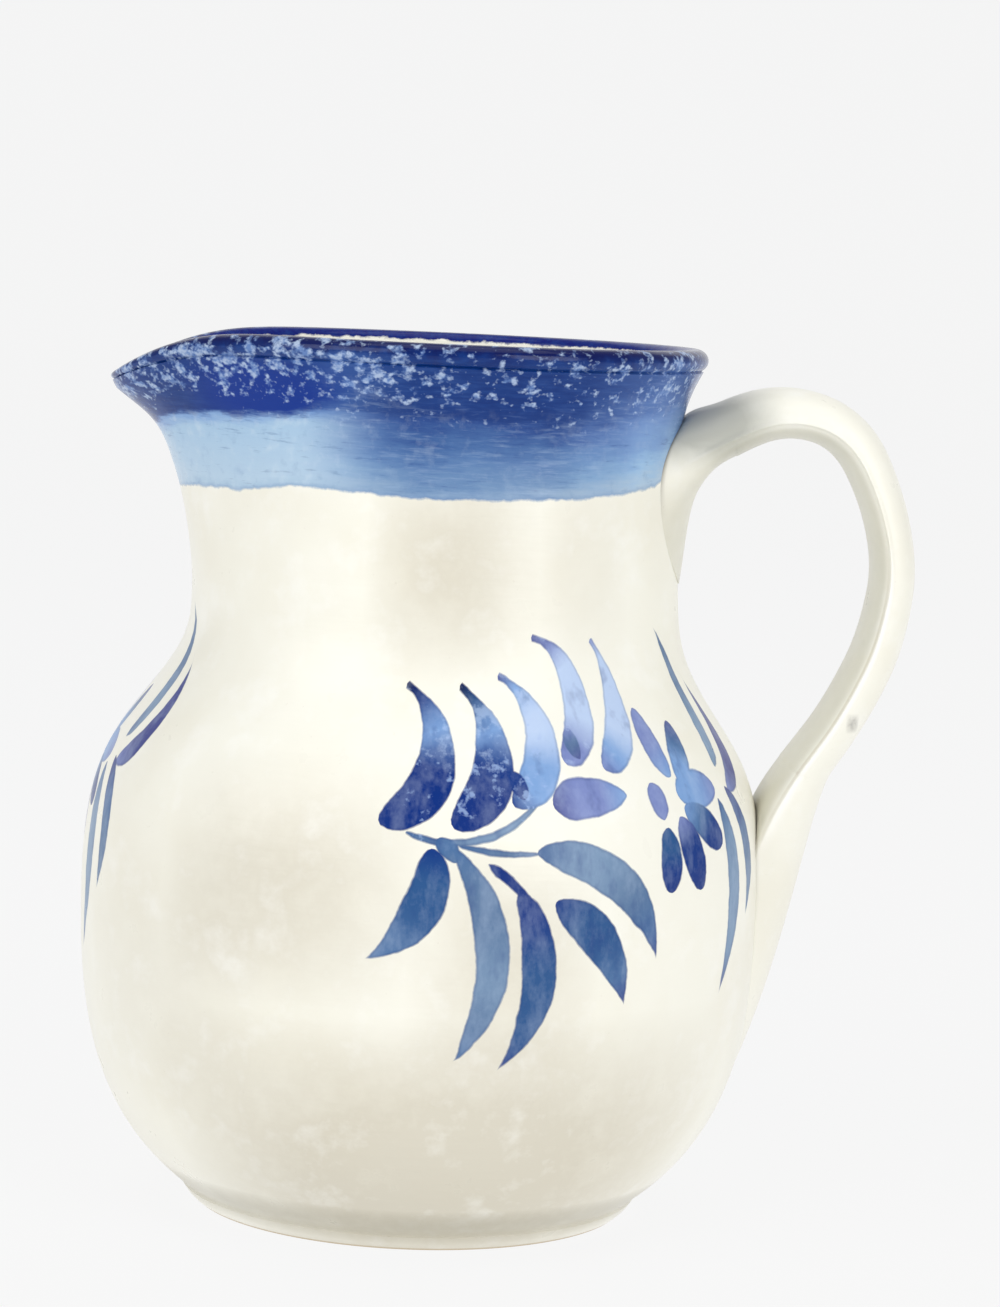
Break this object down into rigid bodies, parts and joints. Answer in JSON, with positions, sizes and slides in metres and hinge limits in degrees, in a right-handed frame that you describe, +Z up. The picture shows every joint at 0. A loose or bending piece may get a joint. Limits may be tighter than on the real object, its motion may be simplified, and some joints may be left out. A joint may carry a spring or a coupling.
{
  "type": "pitcher",
  "caption": "Wheel-thrown glazed ceramic pitcher with a round belly, flared rim, pulled spout and arched strap handle.",
  "frame": {"origin": "centre of the flat foot, on the axis of the round vessel", "axes": "+Z up along the vessel's axis, +X towards the handle, -X towards the spout"},
  "size_m": [0.1895, 0.1566, 0.1999],
  "materials": {
    "vessel_glaze": "Glossy warm ivory glaze over stoneware, with cobalt brushwork and a cobalt band round the rim.",
    "handle_glaze": "Glossy warm ivory glaze, thinner on the side ridges, with a grey-blue flush by the rim.",
    "join_glaze": "Glossy warm ivory glaze, pooled a little darker in the creases."
  },
  "bodies": {
    "root": {"vessel": "vessel_glaze", "handle": "handle_glaze", "upper_handle_join": "join_glaze", "lower_handle_join": "join_glaze"}
  },
  "joints": []
}
